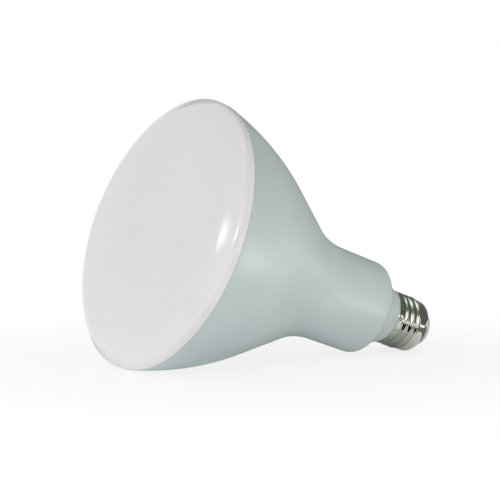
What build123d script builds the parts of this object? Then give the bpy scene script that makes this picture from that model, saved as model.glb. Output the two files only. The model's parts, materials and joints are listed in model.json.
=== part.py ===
from build123d import *
import os
from math import asin, atan2, cos, degrees, hypot, radians, sin, sqrt, tan

# A reflector lamp with a domed milky lens and a 26 mm screw base, lying on its side.
# It is drawn upright on its own axis: Z = 0 is the seam between lens and housing,
# and +Z runs towards the screw base. At the end it is laid down once, to rest on
# the housing's bulge and the rounded end of the screw shell. Millimetres and degrees.

# Lens
RIM_RADIUS = 63.5            # widest point of the lamp
RIM_TO_SEAM = 2.3            # widest point lies this far in front of the seam
RIM_ROUND = 3.5              # tight rounding at the rim
HAUNCH_ROUND = 20.0          # softer rounding between rim and dome
HAUNCH_TURN = 45.0           # the two roundings meet where the surface faces this far from the axis
DOME_RADIUS = 240.0          # crown of the lens
RIM_DRAFT = 3.0              # the rim closes in towards the seam by this slope
LENS_WALL = 2.2
SEAM_BEVEL = 0.35            # small bevels that make the seam line
SKIRT_DEPTH = 6.0            # lens skirt inside the housing's mouth
SKIRT_WALL = 1.8

# Housing, with slopes measured from the lamp's axis
LIP_WALL = 1.6               # housing wall around the lens skirt
RIM_SLOPE = 13.5
BULGE_RADIUS = 140.0
CONE_SLOPE = 33.2
THROAT_RADIUS = 40.5         # hollow curve between cone and neck
NECK_RADIUS = 22.8           # where the throat runs into the neck
NECK_SLOPE = 0.8
NECK_LENGTH = 21.2
SHOULDER_RADIUS = 4.0

# Screw shell
THREAD_RADIUS = 13.1         # crest of the rolled thread
THREAD_DEPTH = 1.05
THREAD_PITCH = 3.629         # seven turns to the inch
THREAD_TURNS = 3
RUN_OUT_TURNS = 0.5          # the wave dies away over this much of a turn at both ends
ROUNDS_PER_TURN = 12         # sections that carry the thread's surface
SHELL_WALL = 0.45            # left under the thread's root
BAND_STEP = 0.1              # plain band next to the collar, inside the crests
BAND_LENGTH = 2.8
END_STRAIGHT = 2.5           # plain stretch between the thread and the end's rounding
END_ROUND = 3.4
END_LIP = 0.4                # flat edge round the insulator

# Collar between the neck and the screw shell
COLLAR_STEP = 1.9            # ring outside the thread's crests
COLLAR_LENGTH = 10.9
TAPER_LENGTH = 4.6           # the ring closes in to the shell over this length
TAPER_STEP = 0.3             # small end of the taper, inside the thread's crests
TAPER_ROUND = 3.0            # soft edge where the taper starts
SPIGOT_STEP = 2.0            # spigot in the housing's end, inside the ring
SPIGOT_DEPTH = 8.0
FIT_GAP = 0.05               # radial clearance of the seats

# Insulator and contact on the end
INSULATOR_SEAT = 4.0         # depth inside the shell
INSULATOR_HEIGHT = 3.6       # bare length outside it
INSULATOR_DRAFT = 10.0       # the bare part closes in by this slope
INSULATOR_ROUND = 1.2
CONTACT_RADIUS = 4.6
CONTACT_HEIGHT = 1.4
CONTACT_ROUND = 0.6
STEM_RADIUS = 2.0
STEM_LENGTH = 3.0

# Radii that follow
RIM_CENTRE = RIM_RADIUS - RIM_ROUND
DRAFT_START = RIM_CENTRE + RIM_ROUND * cos(radians(RIM_DRAFT))
DRAFT_LENGTH = RIM_TO_SEAM - SEAM_BEVEL - RIM_ROUND * sin(radians(RIM_DRAFT))
SEAM_RADIUS = DRAFT_START - DRAFT_LENGTH * tan(radians(RIM_DRAFT))
MOUTH_RADIUS = SEAM_RADIUS - LIP_WALL
SKIRT_RADIUS = MOUTH_RADIUS - FIT_GAP
WAVE = THREAD_DEPTH / 2
END_RADIUS = THREAD_RADIUS - WAVE
SHELL_BORE = THREAD_RADIUS - THREAD_DEPTH - SHELL_WALL
INSULATOR_RADIUS = END_RADIUS - END_ROUND - END_LIP
COLLAR_RADIUS = THREAD_RADIUS + COLLAR_STEP
TAPER_RADIUS = THREAD_RADIUS - TAPER_STEP
SPIGOT_RADIUS = COLLAR_RADIUS - SPIGOT_STEP


def heading(slope):
    """Direction of an outline that runs towards the base and closes in by this slope."""
    return (-sin(radians(slope)), cos(radians(slope)))


def along(curve, length):
    """A straight run that carries an outline on from the end of a curve."""
    return Line(curve @ 1, curve @ 1 + (curve % 1) * length)


def housing_outline():
    """Bulge, straight cone, hollow throat, tapered neck and round shoulder, each tangent to the last."""
    bulge_drop = BULGE_RADIUS * (cos(radians(RIM_SLOPE)) - cos(radians(CONE_SLOPE)))
    throat_drop = THROAT_RADIUS * (cos(radians(NECK_SLOPE)) - cos(radians(CONE_SLOPE)))
    cone_drop = SEAM_RADIUS - bulge_drop - throat_drop - NECK_RADIUS
    bulge = JernArc((SEAM_RADIUS, SEAM_BEVEL), heading(RIM_SLOPE), BULGE_RADIUS, CONE_SLOPE - RIM_SLOPE)
    cone = along(bulge, cone_drop / sin(radians(CONE_SLOPE)))
    throat = JernArc(cone @ 1, cone % 1, THROAT_RADIUS, NECK_SLOPE - CONE_SLOPE)
    neck = along(throat, NECK_LENGTH)
    shoulder = JernArc(neck @ 1, neck % 1, SHOULDER_RADIUS, 90 - NECK_SLOPE)
    return [bulge, cone, throat, neck, shoulder]


# Heights that follow
HOUSING_OUTLINE = housing_outline()
HOUSING_END = (HOUSING_OUTLINE[-1] @ 1).Y
SHELL_START = HOUSING_END + COLLAR_LENGTH
THREAD_START = SHELL_START + BAND_LENGTH
THREAD_END = THREAD_START + THREAD_TURNS * THREAD_PITCH
SHELL_END = THREAD_END + END_STRAIGHT + END_ROUND
SEAT_START = SHELL_END - INSULATOR_SEAT
INSULATOR_END = SHELL_END + INSULATOR_HEIGHT
CONTACT_END = INSULATOR_END + CONTACT_HEIGHT


def turned(outline):
    """A solid turned round the lamp's axis from its half outline."""
    return revolve(Plane.XZ * make_face(outline), Axis.Z)


def disc(radius, low, high):
    """A plain disc or rod on the axis between two heights."""
    return Pos(0, 0, low) * Cylinder(radius, high - low, align=(Align.CENTER, Align.CENTER, Align.MIN))


def round_top(solid, radius):
    """The same disc with its upper edge rounded."""
    return fillet(solid.edges().sort_by(Axis.Z)[-1], radius)


def lens_outline():
    """Dome, haunch and rim roundings and the drafted rim, each tangent to the last, from the axis to the seam."""
    turn = radians(HAUNCH_TURN)
    haunch_centre = RIM_CENTRE - (HAUNCH_ROUND - RIM_ROUND) * sin(turn)
    haunch_height = (HAUNCH_ROUND - RIM_ROUND) * cos(turn) - RIM_TO_SEAM
    dome_reach = DOME_RADIUS - HAUNCH_ROUND
    dome_turn = degrees(asin(haunch_centre / dome_reach))
    apex = haunch_height + sqrt(dome_reach ** 2 - haunch_centre ** 2) - DOME_RADIUS
    dome = JernArc((0, apex), (1, 0), DOME_RADIUS, dome_turn)
    haunch = JernArc(dome @ 1, dome % 1, HAUNCH_ROUND, HAUNCH_TURN - dome_turn)
    rim = JernArc(haunch @ 1, haunch % 1, RIM_ROUND, 90 + RIM_DRAFT - HAUNCH_TURN)
    draft = along(rim, DRAFT_LENGTH / cos(radians(RIM_DRAFT)))
    return [dome, haunch, rim, draft]


def diffuser_lens():
    """Moulded dome of even wall, with a rounded rim and a skirt for the housing's mouth."""
    outside = lens_outline()
    apex = outside[0] @ 0
    skirt_inside = SKIRT_RADIUS - SKIRT_WALL
    inner_radius = DOME_RADIUS - LENS_WALL
    inside = JernArc(
        (0, apex.Y + LENS_WALL), (1, 0), inner_radius, degrees(asin(skirt_inside / inner_radius))
    )
    skirt = Polyline(
        outside[-1] @ 1,
        (SEAM_RADIUS - SEAM_BEVEL, 0),
        (SKIRT_RADIUS, 0),
        (SKIRT_RADIUS, SKIRT_DEPTH),
        (skirt_inside, SKIRT_DEPTH),
        inside @ 1,
    )
    return turned(outside + [skirt, inside, Line(inside @ 0, apex)])


def reflector_housing():
    """Flared body, with a mouth for the lens skirt and a socket for the collar's spigot."""
    socket = SPIGOT_RADIUS + FIT_GAP
    inside = Polyline(
        HOUSING_OUTLINE[-1] @ 1,
        (socket, HOUSING_END),
        (socket, HOUSING_END - SPIGOT_DEPTH),
        (0, HOUSING_END - SPIGOT_DEPTH),
        (0, SKIRT_DEPTH),
        (MOUTH_RADIUS, SKIRT_DEPTH),
        (MOUTH_RADIUS, 0),
        (SEAM_RADIUS - SEAM_BEVEL, 0),
        HOUSING_OUTLINE[0] @ 0,
    )
    return turned(HOUSING_OUTLINE + [inside])


def base_collar():
    """Moulded carrier: spigot in the housing, visible ring that tapers to the shell, and a boss inside it."""
    boss = SHELL_BORE - FIT_GAP
    taper = FilletPolyline(
        (COLLAR_RADIUS, HOUSING_END),
        (COLLAR_RADIUS, SHELL_START - TAPER_LENGTH),
        (TAPER_RADIUS, SHELL_START),
        radius=TAPER_ROUND,
    )
    carrier = Polyline(
        taper @ 1,
        (boss, SHELL_START),
        (boss, SEAT_START),
        (0, SEAT_START),
        (0, HOUSING_END - SPIGOT_DEPTH),
        (SPIGOT_RADIUS, HOUSING_END - SPIGOT_DEPTH),
        (SPIGOT_RADIUS, HOUSING_END),
        taper @ 0,
    )
    return turned([taper, carrier])


def rolled_thread():
    """One continuous wave of thread: a round whose centre walks round the axis once per pitch.
    Its distance from the axis grows from nothing and dies away again, as a rolled thread does."""
    steps = round(THREAD_TURNS * ROUNDS_PER_TURN)
    rounds = []
    for step in range(steps + 1):
        turn = THREAD_TURNS * step / steps
        wave = WAVE * min(1, turn / RUN_OUT_TURNS, (THREAD_TURNS - turn) / RUN_OUT_TURNS)
        centre = (wave * cos(radians(360 * turn)), wave * sin(radians(360 * turn)))
        rounds.append(Pos(*centre, THREAD_START + THREAD_PITCH * turn) * Circle(END_RADIUS))
    return loft(rounds)


def screw_shell():
    """Rolled shell: plain band, thread, and a rounded end that closes on the insulator."""
    band = disc(THREAD_RADIUS - BAND_STEP, SHELL_START, THREAD_START)
    end = round_top(disc(END_RADIUS, THREAD_END, SHELL_END), END_ROUND)
    bore = disc(SHELL_BORE, SHELL_START, SEAT_START)
    mouth = disc(INSULATOR_RADIUS, SEAT_START, SHELL_END)
    return band + rolled_thread() + end - bore - mouth


def base_insulator():
    """Moulded plug that stands out of the shell with a drafted side and a round edge, and a hole for the stem."""
    seat = INSULATOR_RADIUS - FIT_GAP
    bare = FilletPolyline(
        (seat, SHELL_END),
        (seat - INSULATOR_HEIGHT * tan(radians(INSULATOR_DRAFT)), INSULATOR_END),
        (CONTACT_RADIUS, INSULATOR_END),
        radius=INSULATOR_ROUND,
    )
    rest = Polyline(bare @ 1, (0, INSULATOR_END), (0, SEAT_START), (seat, SEAT_START), bare @ 0)
    return turned([bare, rest]) - disc(STEM_RADIUS + FIT_GAP, INSULATOR_END - STEM_LENGTH, INSULATOR_END)


def centre_contact():
    """Plated button with a rounded edge, held in the insulator by its stem."""
    button = round_top(disc(CONTACT_RADIUS, INSULATOR_END, CONTACT_END), CONTACT_ROUND)
    return button + disc(STEM_RADIUS, INSULATOR_END - STEM_LENGTH, INSULATOR_END)


def rest_slope():
    """Slope of the axis when the lamp lies on the housing's bulge and on the rounded end of the shell:
    that of the common tangent of those two arcs."""
    bulge_radius = SEAM_RADIUS - BULGE_RADIUS * cos(radians(RIM_SLOPE))
    bulge_height = SEAM_BEVEL - BULGE_RADIUS * sin(radians(RIM_SLOPE))
    run = SHELL_END - END_ROUND - bulge_height
    drop = bulge_radius - (END_RADIUS - END_ROUND)
    return degrees(atan2(drop, run) + asin((BULGE_RADIUS - END_ROUND) / hypot(run, drop)))


lamp = {
    "diffuser_lens": diffuser_lens(),
    "reflector_housing": reflector_housing(),
    "base_collar": base_collar(),
    "screw_shell": screw_shell(),
    "base_insulator": base_insulator(),
    "centre_contact": centre_contact(),
}

# Laid down with the base towards +X, and set with the middle of its underside at the origin
lay_down = Rot(0, 90 + rest_slope(), 0)
lying = {name: lay_down * piece for name, piece in lamp.items()}
around = Compound(list(lying.values())).bounding_box()
to_floor = Pos(-around.center().X, -around.center().Y, -around.min.Z)

os.makedirs("parts", exist_ok=True)
for name, piece in lying.items():
    export_step(to_floor * piece, f"parts/{name}.step")
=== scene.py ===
import json
from math import asin, atan2, ceil, cos, degrees, pi, radians, sin, sqrt, tan

import bpy
from mathutils import Matrix, Vector


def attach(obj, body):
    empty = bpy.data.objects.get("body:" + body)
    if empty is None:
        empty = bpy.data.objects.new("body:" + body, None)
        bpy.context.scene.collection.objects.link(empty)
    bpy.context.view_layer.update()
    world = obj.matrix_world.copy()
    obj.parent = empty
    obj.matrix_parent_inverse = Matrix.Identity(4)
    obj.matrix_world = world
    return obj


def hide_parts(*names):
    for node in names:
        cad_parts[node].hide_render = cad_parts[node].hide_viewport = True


# A reflector lamp with a domed milky lens and a 26 mm screw base, lying on its side.
# Its pieces are drawn upright on the lamp's own axis, in millimetres, with height 0 at
# the seam between lens and housing and the base at the top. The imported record's screw
# mount then says where that axis lies. The studio round it is in metres.

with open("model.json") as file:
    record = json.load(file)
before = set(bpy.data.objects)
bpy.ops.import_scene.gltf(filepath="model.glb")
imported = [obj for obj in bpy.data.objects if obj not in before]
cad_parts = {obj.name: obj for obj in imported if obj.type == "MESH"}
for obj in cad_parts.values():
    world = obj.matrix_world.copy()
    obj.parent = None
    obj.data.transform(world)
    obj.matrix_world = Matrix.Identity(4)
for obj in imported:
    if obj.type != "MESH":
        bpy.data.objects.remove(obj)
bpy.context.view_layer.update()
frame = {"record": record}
MM = 0.001

# Lens
RIM_RADIUS = 63.5
RIM_TO_SEAM = 2.3
RIM_ROUND = 3.5
HAUNCH_ROUND = 20.0
HAUNCH_TURN = 45.0
DOME_RADIUS = 240.0
RIM_DRAFT = 3.0
LENS_WALL = 2.2
SEAM_BEVEL = 0.35
SKIRT_DEPTH = 6.0
SKIRT_WALL = 1.8

# Housing, with slopes measured from the axis
LIP_WALL = 1.6
RIM_SLOPE = 13.5
BULGE_RADIUS = 140.0
CONE_SLOPE = 33.2
THROAT_RADIUS = 40.5
NECK_RADIUS = 22.8
NECK_SLOPE = 0.8
NECK_LENGTH = 21.2
SHOULDER_RADIUS = 4.0

# Screw shell
THREAD_RADIUS = 13.1
THREAD_DEPTH = 1.05
THREAD_PITCH = 3.629
THREAD_TURNS = 3.0
RUN_OUT_TURNS = 0.5
SHELL_WALL = 0.45
BAND_STEP = 0.1
BAND_LENGTH = 2.8
BAND_ROUND = 0.3             # edges of the plain band, which sheet metal never has sharp
END_STRAIGHT = 2.5
END_ROUND = 3.4
END_LIP = 0.4
CRIMP_COUNT = 12             # punched dimples that hold the shell on the collar
CRIMP_DEPTH = 0.45
CRIMP_WIDTH = 0.9
CRIMP_HEIGHT = 0.6

# Collar
COLLAR_STEP = 1.9
COLLAR_LENGTH = 10.9
TAPER_LENGTH = 4.6
TAPER_STEP = 0.3
TAPER_ROUND = 3.0
SPIGOT_STEP = 2.0
SPIGOT_DEPTH = 8.0
FIT_GAP = 0.05

# Insulator and contact
INSULATOR_SEAT = 4.0
INSULATOR_HEIGHT = 3.6
INSULATOR_DRAFT = 10.0
INSULATOR_ROUND = 1.2
CONTACT_RADIUS = 4.6
CONTACT_HEIGHT = 1.4
CONTACT_ROUND = 0.6
STEM_RADIUS = 2.0
STEM_LENGTH = 3.0

# Radii and heights that follow, as in the solids
RIM_CENTRE = RIM_RADIUS - RIM_ROUND
DRAFT_LENGTH = RIM_TO_SEAM - SEAM_BEVEL - RIM_ROUND * sin(radians(RIM_DRAFT))
SEAM_RADIUS = RIM_CENTRE + RIM_ROUND * cos(radians(RIM_DRAFT)) - DRAFT_LENGTH * tan(radians(RIM_DRAFT))
MOUTH_RADIUS = SEAM_RADIUS - LIP_WALL
SKIRT_RADIUS = MOUTH_RADIUS - FIT_GAP
WAVE = THREAD_DEPTH / 2
END_RADIUS = THREAD_RADIUS - WAVE
BAND_RADIUS = THREAD_RADIUS - BAND_STEP
SHELL_BORE = THREAD_RADIUS - THREAD_DEPTH - SHELL_WALL
INSULATOR_RADIUS = END_RADIUS - END_ROUND - END_LIP
COLLAR_RADIUS = THREAD_RADIUS + COLLAR_STEP
TAPER_RADIUS = THREAD_RADIUS - TAPER_STEP
SPIGOT_RADIUS = COLLAR_RADIUS - SPIGOT_STEP

# Fineness of the meshes
AROUND = 256                 # steps round a moulded piece
SHELL_AROUND = 384           # steps round the threaded shell
BEND_STEP = 3.0              # degrees of an arc for each step of an outline
BEND_REACH = 2.5             # longest step along an arc or beside one
THREAD_STEP = 0.14           # step along the threaded wall
WHOLE_LINE = 1000.0          # longer than any line, which then stays in one step
ON_AXIS = 1e-6               # a smaller radius is a point on the axis
SHARP_ANGLE = 40.0           # edges that turn by more than this stay crisp


class Pen:
    """Draws a half section as (radius, height) points. Its slope is how far the line
    closes in on the axis: 0 runs towards the base and 90 runs straight inwards."""

    def __init__(self, radius, height, slope=0.0):
        self.points = [(radius, height)]
        self.slope = slope

    def run(self, length, reach=WHOLE_LINE):
        """A straight line, cut into steps no longer than reach."""
        radius, height = self.points[-1]
        inward = sin(radians(self.slope))
        onward = cos(radians(self.slope))
        steps = ceil(length / reach)
        for step in range(1, steps + 1):
            part = length * step / steps
            self.points.append((radius - part * inward, height + part * onward))
        return self

    def bend(self, bend_radius, turn):
        """An arc that turns by this angle: a positive one closes in, a negative one opens out."""
        side = 1 if turn > 0 else -1
        radius, height = self.points[-1]
        centre_radius = radius - side * bend_radius * cos(radians(self.slope))
        centre_height = height - side * bend_radius * sin(radians(self.slope))
        steps = ceil(max(abs(turn) / BEND_STEP, radians(abs(turn)) * bend_radius / BEND_REACH))
        for step in range(1, steps + 1):
            facing = radians(self.slope + turn * step / steps)
            self.points.append((
                centre_radius + side * bend_radius * cos(facing),
                centre_height + side * bend_radius * sin(facing),
            ))
        self.slope += turn
        return self

    def to(self, *corners):
        """Straight lines through these points."""
        self.points.extend(corners)
        return self


def housing_outline():
    """Bulge, straight cone, hollow throat, tapered neck and round shoulder."""
    bulge_drop = BULGE_RADIUS * (cos(radians(RIM_SLOPE)) - cos(radians(CONE_SLOPE)))
    throat_drop = THROAT_RADIUS * (cos(radians(NECK_SLOPE)) - cos(radians(CONE_SLOPE)))
    cone_drop = SEAM_RADIUS - bulge_drop - throat_drop - NECK_RADIUS
    pen = Pen(SEAM_RADIUS - SEAM_BEVEL, 0, RIM_SLOPE - 90)
    pen.bend(SEAM_BEVEL, 90)
    pen.bend(BULGE_RADIUS, CONE_SLOPE - RIM_SLOPE)
    pen.run(cone_drop / sin(radians(CONE_SLOPE)), BEND_REACH)
    pen.bend(THROAT_RADIUS, NECK_SLOPE - CONE_SLOPE)
    pen.run(NECK_LENGTH, BEND_REACH)
    pen.bend(SHOULDER_RADIUS, 90 - NECK_SLOPE)
    return pen


HOUSING_END = housing_outline().points[-1][1]
SHELL_START = HOUSING_END + COLLAR_LENGTH
THREAD_START = SHELL_START + BAND_LENGTH
THREAD_END = THREAD_START + THREAD_TURNS * THREAD_PITCH
SHELL_END = THREAD_END + END_STRAIGHT + END_ROUND
SEAT_START = SHELL_END - INSULATOR_SEAT
INSULATOR_END = SHELL_END + INSULATOR_HEIGHT
CONTACT_END = INSULATOR_END + CONTACT_HEIGHT

# The lamp's axis in the row frame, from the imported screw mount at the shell's start
screw = next(mount for mount in frame["record"]["mounts"] if mount["name"] == "screw_base")
axis = Vector(screw["axis"]).normalized()
side = Vector((0, 1, 0))
across = side.cross(axis)
seam_centre = Vector(screw["pos_m"]) - axis * SHELL_START * MM
LAMP_TO_ROW = (
    Matrix.Translation(seam_centre)
    @ Matrix((across, side, axis)).transposed().to_4x4()
    @ Matrix.Scale(MM, 4)
)


# Nodes

def wire(tree, node, inputs):
    """Sets a node's inputs. Each is a value, or another node's output to link."""
    for name, value in inputs.items():
        if isinstance(value, bpy.types.NodeSocket):
            tree.links.new(value, node.inputs[name])
        else:
            node.inputs[name].default_value = value


def add_node(tree, kind, inputs=None, **settings):
    """A node with its settings and inputs."""
    node = tree.nodes.new(kind)
    for name, value in settings.items():
        setattr(node, name, value)
    wire(tree, node, inputs or {})
    return node


def maths(tree, operation, *values):
    """The output of a math node."""
    inputs = dict(enumerate(values))
    return add_node(tree, "ShaderNodeMath", inputs, operation=operation).outputs["Value"]


def ranged(tree, value, source, target, **settings):
    """A value mapped from one range to another, and held at its ends."""
    inputs = {
        "Value": value,
        "From Min": source[0], "From Max": source[1],
        "To Min": target[0], "To Max": target[1],
    }
    return add_node(tree, "ShaderNodeMapRange", inputs, **settings).outputs["Result"]


def object_place(tree):
    """Coordinates that stay with the piece."""
    return add_node(tree, "ShaderNodeTexCoord").outputs["Object"]


# Materials

WHITE = (1.0, 1.0, 1.0, 1.0)
NOISE_RANGE = (0.3, 0.7)     # the middle of a noise, where most of it lies
ROUGH_CHANGE = 0.04          # how far a moulding's roughness strays


def linear(hex_colour):
    """Linear colour of an sRGB hex colour."""
    channels = []
    for start in (1, 3, 5):
        value = int(hex_colour[start:start + 2], 16) / 255
        channels.append(value / 12.92 if value <= 0.04045 else ((value + 0.055) / 1.055) ** 2.4)
    return (*channels, 1.0)


def new_material(name):
    """A node material, with its tree and its shader."""
    material = bpy.data.materials.new(name)
    material.use_nodes = True
    tree = material.node_tree
    return material, tree, tree.nodes["Principled BSDF"]


def noise(tree, coordinates, size_mm, detail=2.0, roughness=0.5):
    """Noise whose features are about this many millimetres across."""
    return add_node(
        tree, "ShaderNodeTexNoise",
        {"Vector": coordinates, "Scale": 1 / (size_mm * MM), "Detail": detail, "Roughness": roughness},
    ).outputs["Fac"]


def spread(tree, value, low, high):
    """The middle of a noise's range, mapped to these two values."""
    return ranged(tree, value, NOISE_RANGE, (low, high))


def shades(tree, value, *colours):
    """A colour between two sRGB hex colours."""
    ramp = add_node(tree, "ShaderNodeValToRGB", {"Fac": value})
    for element, position, colour in zip(ramp.color_ramp.elements, NOISE_RANGE, colours):
        element.position = position
        element.color = linear(colour)
    return ramp.outputs["Color"]


def bump(tree, height, depth_mm):
    """A surface relief of this depth."""
    return add_node(tree, "ShaderNodeBump", {
        "Height": height, "Distance": depth_mm * MM, "Strength": 1.0,
    }).outputs["Normal"]


def along_axis(tree, coordinates):
    """Distance along the lamp's axis, for marks that run round a turned piece."""
    return add_node(
        tree, "ShaderNodeVectorMath", {0: coordinates, 1: axis}, operation="DOT_PRODUCT"
    ).outputs["Value"]


def opal_polycarbonate():
    """Milky polycarbonate, moulded glossy: faint cloudiness and a very slight waviness."""
    material, tree, shader = new_material("opal_polycarbonate_gloss")
    place = object_place(tree)
    cloud = noise(tree, place, 30, detail=3)
    wire(tree, shader, {
        "Base Color": shades(tree, cloud, "#EBE9E8", "#EFEDEB"),
        "Roughness": spread(tree, noise(tree, place, 9, detail=4), 0.10, 0.16),
        "IOR": 1.585,
        "Subsurface Weight": 0.3,
        "Subsurface Radius": (1.0, 0.96, 0.92),
        "Subsurface Scale": 1.2 * MM,
        "Normal": bump(tree, noise(tree, place, 14), 0.02),
    })
    return material


def matte_moulding(name, first, second, rough, grain_depth):
    """Moulded plastic with the fine grain of an etched mould. The real grain is about
    0.3 mm across, and is drawn coarser so that it shows at all."""
    material, tree, shader = new_material(name)
    place = object_place(tree)
    cloud = noise(tree, place, 22, detail=3)
    grain = noise(tree, place, 0.7, detail=3, roughness=0.6)
    patches = noise(tree, place, 5, detail=3)
    wire(tree, shader, {
        "Base Color": shades(tree, cloud, first, second),
        "Roughness": spread(tree, patches, rough - ROUGH_CHANGE, rough + ROUGH_CHANGE),
        "IOR": 1.5,
        "Normal": bump(tree, grain, grain_depth),
    })
    return material


def nickel_plate():
    """Bright nickel on rolled sheet: drawing lines round the shell and a few cloudy spots."""
    material, tree, shader = new_material("bright_nickel_plate")
    place = object_place(tree)
    ring_place = add_node(tree, "ShaderNodeCombineXYZ", {"Z": along_axis(tree, place)})
    rings = noise(tree, ring_place.outputs["Vector"], 0.5, detail=3)
    wire(tree, shader, {
        "Base Color": shades(tree, noise(tree, place, 6, detail=3), "#BCC0B6", "#C8CBC2"),
        "Metallic": 1.0,
        "Roughness": spread(tree, noise(tree, place, 2.5, detail=4), 0.08, 0.14),
        "Normal": bump(tree, rings, 0.003),
    })
    return material


def dull_contact():
    """Plated contact, slightly dull and rubbed by a lampholder's spring."""
    material, tree, shader = new_material("plated_contact_dull")
    place = object_place(tree)
    wear = noise(tree, place, 2.0, detail=4)
    wire(tree, shader, {
        "Base Color": shades(tree, wear, "#B9B1A2", "#D8D2C6"),
        "Metallic": 1.0,
        "Roughness": spread(tree, wear, 0.42, 0.24),
        "Normal": bump(tree, noise(tree, place, 0.6, detail=3), 0.01),
    })
    return material


def grey_insulator():
    """Pale grey insulator, moulded smooth, with slight flow marks."""
    material, tree, shader = new_material("pale_grey_insulator_smooth")
    flow = noise(tree, object_place(tree), 3.0, detail=3)
    wire(tree, shader, {
        "Base Color": shades(tree, flow, "#C6CACA", "#CDD1D1"),
        "Roughness": spread(tree, flow, 0.26, 0.36),
        "IOR": 1.52,
        "Normal": bump(tree, flow, 0.02),
    })
    return material


# Pieces

def turned_mesh(name, outline, around=AROUND):
    """A mesh turned round the axis from a half section. A section that starts on the axis also
    ends on it, and any other one is a closed loop."""
    vertices = []
    rings = []
    for radius, height in outline:
        first = len(vertices)
        if radius < ON_AXIS:
            vertices.append((0, 0, height))
            rings.append([first] * around)
            continue
        for step in range(around):
            angle = 2 * pi * step / around
            vertices.append((radius * cos(angle), radius * sin(angle), height))
        rings.append(list(range(first, first + around)))
    if outline[0][0] > ON_AXIS:
        rings.append(rings[0])
    faces = []
    for lower, upper in zip(rings, rings[1:]):
        for step in range(around):
            after = (step + 1) % around
            corners = [lower[step], lower[after], upper[after], upper[step]]
            faces.append(tuple(dict.fromkeys(corners)))
    mesh = bpy.data.meshes.new(name)
    mesh.from_pydata(vertices, [], [face for face in faces if len(face) > 2])
    mesh.validate()
    return mesh


def add_piece(name, mesh, material, node):
    """Lays a finished mesh down in the row frame, as the piece that stands for a CAD node."""
    mesh.transform(LAMP_TO_ROW)
    mesh.materials.clear()
    mesh.materials.append(material)
    mesh.shade_smooth()
    mesh.set_sharp_from_angle(angle=radians(SHARP_ANGLE))
    piece = bpy.data.objects.new(name, mesh)
    bpy.context.scene.collection.objects.link(piece)
    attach(piece, "root")
    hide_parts(node)


def lens_section():
    """Dome, haunch and rim outside, seam edge, skirt, and an even wall inside."""
    turn = radians(HAUNCH_TURN)
    haunch_centre = RIM_CENTRE - (HAUNCH_ROUND - RIM_ROUND) * sin(turn)
    haunch_height = (HAUNCH_ROUND - RIM_ROUND) * cos(turn) - RIM_TO_SEAM
    dome_reach = DOME_RADIUS - HAUNCH_ROUND
    dome_turn = degrees(asin(haunch_centre / dome_reach))
    apex = haunch_height + sqrt(dome_reach ** 2 - haunch_centre ** 2) - DOME_RADIUS
    pen = Pen(0, apex, -90)
    pen.bend(DOME_RADIUS, dome_turn)
    pen.bend(HAUNCH_ROUND, HAUNCH_TURN - dome_turn)
    pen.bend(RIM_ROUND, 90 + RIM_DRAFT - HAUNCH_TURN)
    pen.run(DRAFT_LENGTH / cos(radians(RIM_DRAFT)))
    pen.bend(SEAM_BEVEL, 90 - RIM_DRAFT)
    skirt_inside = SKIRT_RADIUS - SKIRT_WALL
    inner_radius = DOME_RADIUS - LENS_WALL
    inner_turn = degrees(asin(skirt_inside / inner_radius))
    inside = Pen(0, apex + LENS_WALL, -90).bend(inner_radius, inner_turn).points
    pen.to((SKIRT_RADIUS, 0), (SKIRT_RADIUS, SKIRT_DEPTH), (skirt_inside, SKIRT_DEPTH))
    pen.to(*reversed(inside))
    return pen.points


def housing_section():
    """The flared outside, a socket for the collar and a mouth for the lens skirt."""
    socket = SPIGOT_RADIUS + FIT_GAP
    floor = HOUSING_END - SPIGOT_DEPTH
    outside = housing_outline().points
    mouth = [(0, SKIRT_DEPTH), (MOUTH_RADIUS, SKIRT_DEPTH), (MOUTH_RADIUS, 0)]
    return mouth + outside + [(socket, HOUSING_END), (socket, floor), (0, floor)]


def collar_section():
    """Spigot in the housing, the ring that tapers to the shell, and a boss inside it."""
    boss = SHELL_BORE - FIT_GAP
    foot = HOUSING_END - SPIGOT_DEPTH
    slope = degrees(atan2(COLLAR_RADIUS - TAPER_RADIUS, TAPER_LENGTH))
    cut = TAPER_ROUND * tan(radians(slope) / 2)
    pen = Pen(0, foot)
    pen.to((SPIGOT_RADIUS, foot), (SPIGOT_RADIUS, HOUSING_END), (COLLAR_RADIUS, HOUSING_END))
    pen.run(COLLAR_LENGTH - TAPER_LENGTH - cut)
    pen.bend(TAPER_ROUND, slope)
    pen.to((TAPER_RADIUS, SHELL_START), (boss, SHELL_START), (boss, SEAT_START), (0, SEAT_START))
    return pen.points


def shell_section():
    """The shell before its thread is rolled: plain band, wall, rounded end and the hollow inside."""
    step = BAND_RADIUS - END_RADIUS
    pen = Pen(SHELL_BORE, SHELL_START, -90)
    pen.run(BAND_RADIUS - BAND_ROUND - SHELL_BORE)
    pen.bend(BAND_ROUND, 90)
    pen.run(BAND_LENGTH - BAND_ROUND - step, THREAD_STEP)
    pen.bend(step / 2, 90)
    pen.bend(step / 2, -90)
    pen.run(THREAD_END + END_STRAIGHT - pen.points[-1][1], THREAD_STEP)
    pen.bend(END_ROUND, 90)
    pen.to((INSULATOR_RADIUS, SHELL_END), (INSULATOR_RADIUS, SEAT_START), (SHELL_BORE, SEAT_START))
    return pen.points


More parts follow.
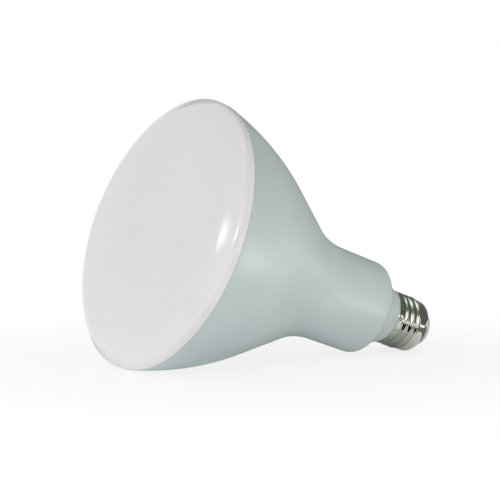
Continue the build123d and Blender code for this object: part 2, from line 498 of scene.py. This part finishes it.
def insulator_section():
    """A plug with a drafted bare side, a round edge, and a hole for the contact's stem."""
    seat = INSULATOR_RADIUS - FIT_GAP
    hole = STEM_RADIUS + FIT_GAP
    hole_floor = INSULATOR_END - STEM_LENGTH
    edge_turn = 90 - INSULATOR_DRAFT
    cut = INSULATOR_ROUND * tan(radians(edge_turn) / 2)
    pen = Pen(0, SEAT_START, INSULATOR_DRAFT)
    pen.to((seat, SEAT_START), (seat, SHELL_END))
    pen.run(INSULATOR_HEIGHT / cos(radians(INSULATOR_DRAFT)) - cut)
    pen.bend(INSULATOR_ROUND, edge_turn)
    pen.to((hole, INSULATOR_END), (hole, hole_floor), (0, hole_floor))
    return pen.points


def contact_section():
    """A button with a rounded edge on its stem."""
    stem_foot = INSULATOR_END - STEM_LENGTH
    pen = Pen(0, stem_foot)
    pen.to((STEM_RADIUS, stem_foot), (STEM_RADIUS, INSULATOR_END), (CONTACT_RADIUS, INSULATOR_END))
    pen.run(CONTACT_HEIGHT - CONTACT_ROUND)
    pen.bend(CONTACT_ROUND, 90)
    pen.to((0, CONTACT_END))
    return pen.points


# The thread and the punched dimples are rolled into the plain shell by one rule

def thread_wave(tree, given, height, angle):
    """How far the thread stands out: a wave that winds round once per pitch and dies away at
    both ends."""
    turn = maths(tree, "DIVIDE", maths(tree, "SUBTRACT", height, given["Thread Start"]), given["Pitch"])
    from_ends = maths(tree, "MINIMUM", turn, maths(tree, "SUBTRACT", given["Turns"], turn))
    fade = ranged(tree, from_ends, (0.0, given["Run Out"]), (0.0, 1.0), interpolation_type="SMOOTHSTEP")
    wound = maths(tree, "MULTIPLY", turn, 2 * pi)
    swing = maths(tree, "COSINE", maths(tree, "SUBTRACT", angle, wound))
    return maths(tree, "MULTIPLY", maths(tree, "MULTIPLY", swing, fade), given["Wave"])


def dimple_dent(tree, given, height, angle, radius):
    """How far the dimples go in: a row of round dents, evenly spaced round the plain band."""
    half_space = maths(tree, "DIVIDE", pi, given["Dimples"])
    from_middle = maths(tree, "WRAP", angle, half_space, maths(tree, "MULTIPLY", half_space, -1.0))
    beside = maths(tree, "MULTIPLY", from_middle, radius)
    above = maths(tree, "SUBTRACT", height, given["Dimple Row"])
    far = maths(
        tree, "ADD",
        maths(tree, "POWER", maths(tree, "DIVIDE", beside, given["Dimple Width"]), 2.0),
        maths(tree, "POWER", maths(tree, "DIVIDE", above, given["Dimple Height"]), 2.0),
    )
    share = maths(tree, "EXPONENT", maths(tree, "MULTIPLY", far, -1.0))
    return maths(tree, "MULTIPLY", share, given["Dimple Depth"])


def shell_rule(material):
    """Moves the outer wall out by the thread and in by the dimples."""
    tree = bpy.data.node_groups.new("rolled_shell", "GeometryNodeTree")
    tree.interface.new_socket("Geometry", in_out="INPUT", socket_type="NodeSocketGeometry")
    values = {
        "Pitch": THREAD_PITCH, "Turns": THREAD_TURNS, "Wave": WAVE, "Thread Start": THREAD_START,
        "Run Out": RUN_OUT_TURNS, "Wall": (SHELL_BORE + END_RADIUS) / 2,
        "Dimples": CRIMP_COUNT, "Dimple Depth": CRIMP_DEPTH, "Dimple Width": CRIMP_WIDTH,
        "Dimple Height": CRIMP_HEIGHT, "Dimple Row": SHELL_START + BAND_LENGTH / 2,
    }
    sockets = {
        name: tree.interface.new_socket(name, in_out="INPUT", socket_type="NodeSocketFloat").identifier
        for name in values
    }
    tree.interface.new_socket("Geometry", in_out="OUTPUT", socket_type="NodeSocketGeometry")
    given = tree.nodes.new("NodeGroupInput").outputs
    place = add_node(tree, "GeometryNodeInputPosition").outputs["Position"]
    parts = add_node(tree, "ShaderNodeSeparateXYZ", {"Vector": place}).outputs
    flat = add_node(tree, "ShaderNodeCombineXYZ", {"X": parts["X"], "Y": parts["Y"]}).outputs["Vector"]
    outward = add_node(tree, "ShaderNodeVectorMath", {0: flat}, operation="NORMALIZE").outputs["Vector"]
    radius = add_node(tree, "ShaderNodeVectorMath", {0: flat}, operation="LENGTH").outputs["Value"]
    angle = maths(tree, "ARCTAN2", parts["Y"], parts["X"])
    wave = thread_wave(tree, given, parts["Z"], angle)
    dent = dimple_dent(tree, given, parts["Z"], angle, radius)
    outer = maths(tree, "GREATER_THAN", radius, given["Wall"])
    push = maths(tree, "MULTIPLY", maths(tree, "SUBTRACT", wave, dent), outer)
    offset = add_node(tree, "ShaderNodeVectorMath", {0: outward, "Scale": push}, operation="SCALE")
    moved = add_node(
        tree, "GeometryNodeSetPosition",
        {"Geometry": given["Geometry"], "Offset": offset.outputs["Vector"]},
    )
    whole = add_node(tree, "GeometryNodeRealizeInstances", {"Geometry": moved.outputs["Geometry"]})
    coated = add_node(
        tree, "GeometryNodeSetMaterial", {"Geometry": whole.outputs["Geometry"], "Material": material}
    )
    add_node(tree, "NodeGroupOutput", {"Geometry": coated.outputs["Geometry"]})
    return tree, {sockets[name]: value for name, value in values.items()}


def rolled_shell_mesh(material):
    """The plain shell with its thread and dimples, as a plain mesh."""
    plain_mesh = turned_mesh("plain_shell", shell_section(), SHELL_AROUND)
    plain = bpy.data.objects.new("plain_shell", plain_mesh)
    bpy.context.scene.collection.objects.link(plain)
    rule, values = shell_rule(material)
    modifier = plain.modifiers.new("rolled", "NODES")
    modifier.node_group = rule
    for identifier, value in values.items():
        modifier[identifier] = value
    graph = bpy.context.evaluated_depsgraph_get()
    mesh = bpy.data.meshes.new_from_object(plain.evaluated_get(graph), depsgraph=graph)
    bpy.data.objects.remove(plain)
    return mesh


nickel = nickel_plate()
add_piece(
    "lens_dome", turned_mesh("lens_dome", lens_section()), opal_polycarbonate(),
    "diffuser_lens",
)
add_piece(
    "flared_housing", turned_mesh("flared_housing", housing_section()),
    matte_moulding("blue_grey_moulding_matte", "#B7C5C5", "#BBC9C8", rough=0.38, grain_depth=0.02),
    "reflector_housing",
)
add_piece(
    "collar_ring", turned_mesh("collar_ring", collar_section()),
    matte_moulding("pale_grey_moulding_satin", "#B9C5C4", "#BDC9C7", rough=0.4, grain_depth=0.01),
    "base_collar",
)
add_piece(
    "threaded_shell", rolled_shell_mesh(nickel), nickel,
    "screw_shell",
)
add_piece(
    "insulator_plug", turned_mesh("insulator_plug", insulator_section()), grey_insulator(),
    "base_insulator",
)
add_piece(
    "contact_button", turned_mesh("contact_button", contact_section()), dull_contact(),
    "centre_contact",
)


# Floor, light and camera, in metres and degrees

FLOOR_REACH = 6.0
FLOOR_WHITE = 1.05
# The floor's fade to white: its centre, where it starts and ends, and the white share at the centre
SEEN_FADE = ((0.0, 0.0, 0.0), 0.075, 0.3, 0.75)
MIRRORED_FADE = ((-0.003, 0.03, 0.0), 0.074, 0.1, 0.0)
# Painted fill light: the white share of the floor's light to diffuse rays, a glow that lights the lamp
# from below in place of real bounce
GLOW_SPAN = (-0.1, 0.05)     # along the lamp, from the lens to the neck
GLOW_AT_LENS = 0.8
GLOW_AT_BASE = 0.4

AMBIENT = 0.62
LENS_SIDE_AMBIENT = 0.42
LENS_SIDE = (-95.0, 20.0)
LIGHT_AIM = Vector((0, 0, 0.05))
LIGHT_DISTANCE = 1.6
FLOOR_CARD_PLACE = (0.095, -0.145, 0.002)

VIEW_AZIMUTH = -32.0638
VIEW_ELEVATION = 4.3806
VIEW_AIM = Vector((-14.351, 0, 51.83)) * MM
VIEW_DISTANCE = 1.05404
FOCAL_LENGTH = 165.6
SENSOR_WIDTH = 36.0

# Sheets that only reflections show, with their places on plan
SHEET_ROUGH = 0.9
CORNER_HEIGHT = 1.3
CORNER_START = 0.25
CORNER_REACH = 3.0
BACK_WALL_START = 2.1
STRIP_PLACES = [
    (-0.15, -0.06), (-1.34, -1.18), (-0.3, -1.0),
    (0.55, -1.77), (0.18, -0.2), (-0.31, -0.55),
]
BACK_FLOOR_PLACES = [(0.05, 0.08), (3.0, 0.08), (3.0, 3.0), (0.9, 3.0)]
CARD_LIFT = 0.001            # how far a card lies above the floor
# Places of the painted shade under the neck and under the shell's end, which only reflections show
NECK_SHADE_CARD = [(-0.02, -0.005), (0.045, 0.06)]
END_SHADE_CARD = [(0.086, -0.012), (0.12, 0.06)]
# Place of the painted grey reflection before the shell's end
FRONT_CARD_PLACES = [(0.08, -0.004), (0.09, -0.08), (0.16, -0.08), (0.16, -0.004)]
# Places of the low black cards that paint black wedges on the thread, which only reflections show
CARD_CORNERS = [(-0.06, -0.075), (-0.06, -0.15), (0.03, -0.15)]
CARD_HEIGHT = 0.03
NEAR_CARD = [(0.02, -0.026), (0.066, -0.047)]
NEAR_CARD_TOP = 0.012
# Glow of the sheets that paint white highlights on the thread, which only reflections show
BOARD_GLOW = 1.5
FRONT_BOARD = [(-2.2, -1.0), (0.1, -2.2)]
FRONT_BOARD_FOOT = 0.75
FRONT_BOARD_TOP = 1.9
TOP_BOARD = [(-0.3, -0.3), (0.3, 0.3)]
TOP_BOARD_HEIGHT = 1.6


def direction(azimuth, elevation):
    """From the object towards a place this far round from the front and this far up."""
    flat = cos(radians(elevation))
    return Vector((
        sin(radians(azimuth)) * flat,
        -cos(radians(azimuth)) * flat,
        sin(radians(elevation)),
    ))


def aim(item, target, distance, azimuth, elevation):
    """Puts a light or the camera this far from its target, and turns it to face it."""
    towards = direction(azimuth, elevation)
    item.location = target + towards * distance
    item.rotation_euler = towards.to_track_quat("Z", "Y").to_euler()


def ray_kinds(tree):
    """1 for what the camera sees straight, and 1 for what it sees in a gloss or through something."""
    path = add_node(tree, "ShaderNodeLightPath").outputs
    mirrored = maths(tree, "MAXIMUM", path["Is Glossy Ray"], path["Is Transmission Ray"])
    return path["Is Camera Ray"], mirrored


def oblong(first, last):
    """The places of an oblong's corners, from two that are opposite."""
    return [first, (last[0], first[1]), last, (first[0], last[1])]


def lying(places, height):
    """The corners of a level sheet."""
    return [(*place, height) for place in places]


def standing(first, second, low, high):
    """The corners of an upright sheet over the line between two places."""
    return [(*first, low), (*second, low), (*second, high), (*first, high)]


def add_sheet(name, corners, material):
    """A flat sheet of the studio."""
    mesh = bpy.data.meshes.new(name)
    mesh.from_pydata(corners, [], [tuple(range(len(corners)))])
    mesh.materials.append(material)
    sheet = bpy.data.objects.new(name, mesh)
    bpy.context.scene.collection.objects.link(sheet)
    return sheet


def add_mirrored(name, colour, outlines, glow=0.0):
    """Sheets that only the bright metal and the gloss mirror, so that they have something to
    show. They give no light and take none away, and the camera doesn't see them."""
    material, tree, shader = new_material(name)
    wire(tree, shader, {
        "Base Color": linear(colour), "Roughness": SHEET_ROUGH, "Specular IOR Level": 0.0,
        "Emission Color": WHITE, "Emission Strength": glow,
    })
    material.cycles.emission_sampling = "NONE"
    for part, corners in outlines.items():
        sheet = add_sheet(part, corners, material)
        sheet.visible_camera = False
        sheet.visible_diffuse = False
        sheet.visible_shadow = False


def painted_dark_reflections():
    """Painted dark reflections, which only reflections show: the unlit corner of the studio over,
    before, beside and behind the base, a dark table at the back, and two cards of painted shade under
    the neck and under the shell's end."""
    near, far, top = CORNER_START, CORNER_REACH, CORNER_HEIGHT
    # Painted reflections: a dark corner and a dark table, and painted shade under the neck and the
    # shell's end
    add_mirrored("painted_dark_reflections", "#858B82", {
        "ceiling": lying(oblong((near, -far), (far, far)), top),
        "front_wall": standing((-far / 2, -far), (far, -far), 0, top),
        "side_wall": standing((far, -far), (far, far / 2), 0, top),
        "neck_shade_card": lying(oblong(*NECK_SHADE_CARD), CARD_LIFT),
        "back_wall": standing((BACK_WALL_START, far), (2 * far, far), 0, top),
        "front_strip": lying(STRIP_PLACES, top),
        "end_shade_card": lying(oblong(*END_SHADE_CARD), CARD_LIFT),
        "back_floor": lying(BACK_FLOOR_PLACES, CARD_LIFT),
    })


def painted_grey_reflection():
    """Painted reflection: a grey card on the table before the shell's end, which only reflections show.
    """
    add_mirrored("painted_grey_reflection", "#9CA196", {"front_card": lying(FRONT_CARD_PLACES, CARD_LIFT)})


def painted_bright_reflections():
    """Painted highlights: glowing white sheets before the lens and overhead, which only reflections
    show, for the white wedges on the thread.
    """
    add_mirrored("painted_highlight_sheets", "#000000", {
        "front_sheet": standing(*FRONT_BOARD, FRONT_BOARD_FOOT, FRONT_BOARD_TOP),
        "top_sheet": lying(oblong(*TOP_BOARD), TOP_BOARD_HEIGHT),
    }, BOARD_GLOW)


def painted_black_reflections():
    """Painted dark reflections: low black cards on the table before the neck, which only reflections
    show, for the black wedges.
    """
    left, corner, right = CARD_CORNERS
    low, high = CARD_LIFT, CARD_LIFT + CARD_HEIGHT
    add_mirrored("painted_black_wedges", "#1C1F1C", {
        "card_left": standing(left, corner, low, high),
        "card_back": standing(corner, right, low, high),
        "card_near": standing(*NEAR_CARD, low, NEAR_CARD_TOP),
    })


def white_share(tree, place, kind, fade):
    """How far the floor is plain white to one kind of ray: least under the lamp, and all of it
    further off."""
    centre, near, far, least = fade
    distance = add_node(
        tree, "ShaderNodeVectorMath", {0: place, 1: centre}, operation="DISTANCE"
    ).outputs["Value"]
    return maths(tree, "MULTIPLY", ranged(tree, distance, (near, far), (least, 1.0)), kind)


def white_floor():
    """A pale floor that shows the lamp's shadow and fades into the white background."""
    material, tree, shader = new_material("white_floor")
    place = object_place(tree)
    seen, mirrored = ray_kinds(tree)
    along = add_node(tree, "ShaderNodeSeparateXYZ", {"Vector": place}).outputs["X"]
    glow = ranged(tree, along, GLOW_SPAN, (GLOW_AT_LENS, GLOW_AT_BASE))
    # Painted fill light: to diffuse rays the floor glows white, more under the lens than under the neck
    diffuse = add_node(tree, "ShaderNodeLightPath").outputs["Is Diffuse Ray"]
    painted_fill_glow = maths(tree, "MULTIPLY", diffuse, glow)
    share = maths(tree, "ADD", white_share(tree, place, seen, SEEN_FADE), painted_fill_glow)
    share = maths(tree, "ADD", share, white_share(tree, place, mirrored, MIRRORED_FADE))
    wire(tree, shader, {
        "Base Color": linear("#EDEDED"), "Roughness": SHEET_ROUGH, "Specular IOR Level": 0.0,
    })
    white = add_node(tree, "ShaderNodeEmission", {"Color": WHITE, "Strength": FLOOR_WHITE})
    surface = add_node(
        tree, "ShaderNodeMixShader",
        {0: share, 1: shader.outputs["BSDF"], 2: white.outputs["Emission"]},
    )
    wire(tree, tree.nodes["Material Output"], {"Surface": surface.outputs["Shader"]})
    reach = FLOOR_REACH
    add_sheet("floor", lying(oblong((-reach, -reach), (reach, reach)), 0), material)


def white_world():
    """White to the camera and in reflections. The light that it sheds is softer, and softest on
    the lens's side, where the lamps stand."""
    world = bpy.data.worlds.new("white_studio")
    world.use_nodes = True
    tree = world.node_tree
    towards = add_node(tree, "ShaderNodeTexCoord").outputs["Generated"]
    facing = add_node(
        tree, "ShaderNodeVectorMath", {0: towards, 1: direction(*LENS_SIDE)}, operation="DOT_PRODUCT"
    ).outputs["Value"]
    glow = ranged(tree, facing, (0.0, 1.0), (AMBIENT, LENS_SIDE_AMBIENT))
    level = ranged(tree, maths(tree, "ADD", *ray_kinds(tree)), (0.0, 1.0), (glow, 1.0))
    wire(tree, tree.nodes["Background"], {"Color": WHITE, "Strength": level})
    bpy.context.scene.world = world


def add_light(name, width, height, brightness, colour="#FFFFFF"):
    """A soft oval light. Its brightness is what a mirror shows of it, where 1 is white."""
    light = bpy.data.lights.new(name, "AREA")
    light.shape = "ELLIPSE"
    light.size = width
    light.size_y = height
    light.color = linear(colour)[:3]
    area = pi / 4 * width * height
    light.energy = brightness * pi * area
    box = bpy.data.objects.new(name, light)
    box.visible_camera = False
    bpy.context.scene.collection.objects.link(box)
    return box


def studio_lights():
    """Two soft boxes by the lens, one in front, a fill that nothing mirrors, and a lit card that
    lies on the table before the base."""
    left_box = add_light("left_box", width=0.75, height=0.4, brightness=2.5)
    aim(left_box, LIGHT_AIM, LIGHT_DISTANCE, azimuth=-86, elevation=28)
    left_core = add_light("left_core", width=0.45, height=0.26, brightness=4)
    aim(left_core, LIGHT_AIM, LIGHT_DISTANCE, azimuth=-89, elevation=26)
    front_box = add_light("front_box", width=0.22, height=0.26, brightness=24)
    aim(front_box, LIGHT_AIM, LIGHT_DISTANCE, azimuth=-45, elevation=24.5)
    fill = add_light("fill", width=1.4, height=0.6, brightness=0.8)
    fill.visible_glossy = False
    aim(fill, LIGHT_AIM, LIGHT_DISTANCE, azimuth=20, elevation=6)
    floor_card = add_light("floor_card", width=0.15, height=0.12, brightness=4.5, colour="#FFF4E8")
    floor_card.location = FLOOR_CARD_PLACE
    floor_card.rotation_euler = (pi, 0, 0)


def add_camera():
    """The photo's view."""
    lens = bpy.data.cameras.new("photo_view")
    lens.lens = FOCAL_LENGTH
    lens.sensor_width = SENSOR_WIDTH
    camera = bpy.data.objects.new("photo_view", lens)
    aim(camera, VIEW_AIM, VIEW_DISTANCE, VIEW_AZIMUTH, VIEW_ELEVATION)
    bpy.context.scene.collection.objects.link(camera)
    bpy.context.scene.camera = camera


white_floor()
painted_dark_reflections()
painted_grey_reflection()
painted_bright_reflections()
painted_black_reflections()
white_world()
studio_lights()
add_camera()
bpy.context.scene.view_settings.view_transform = "Standard"
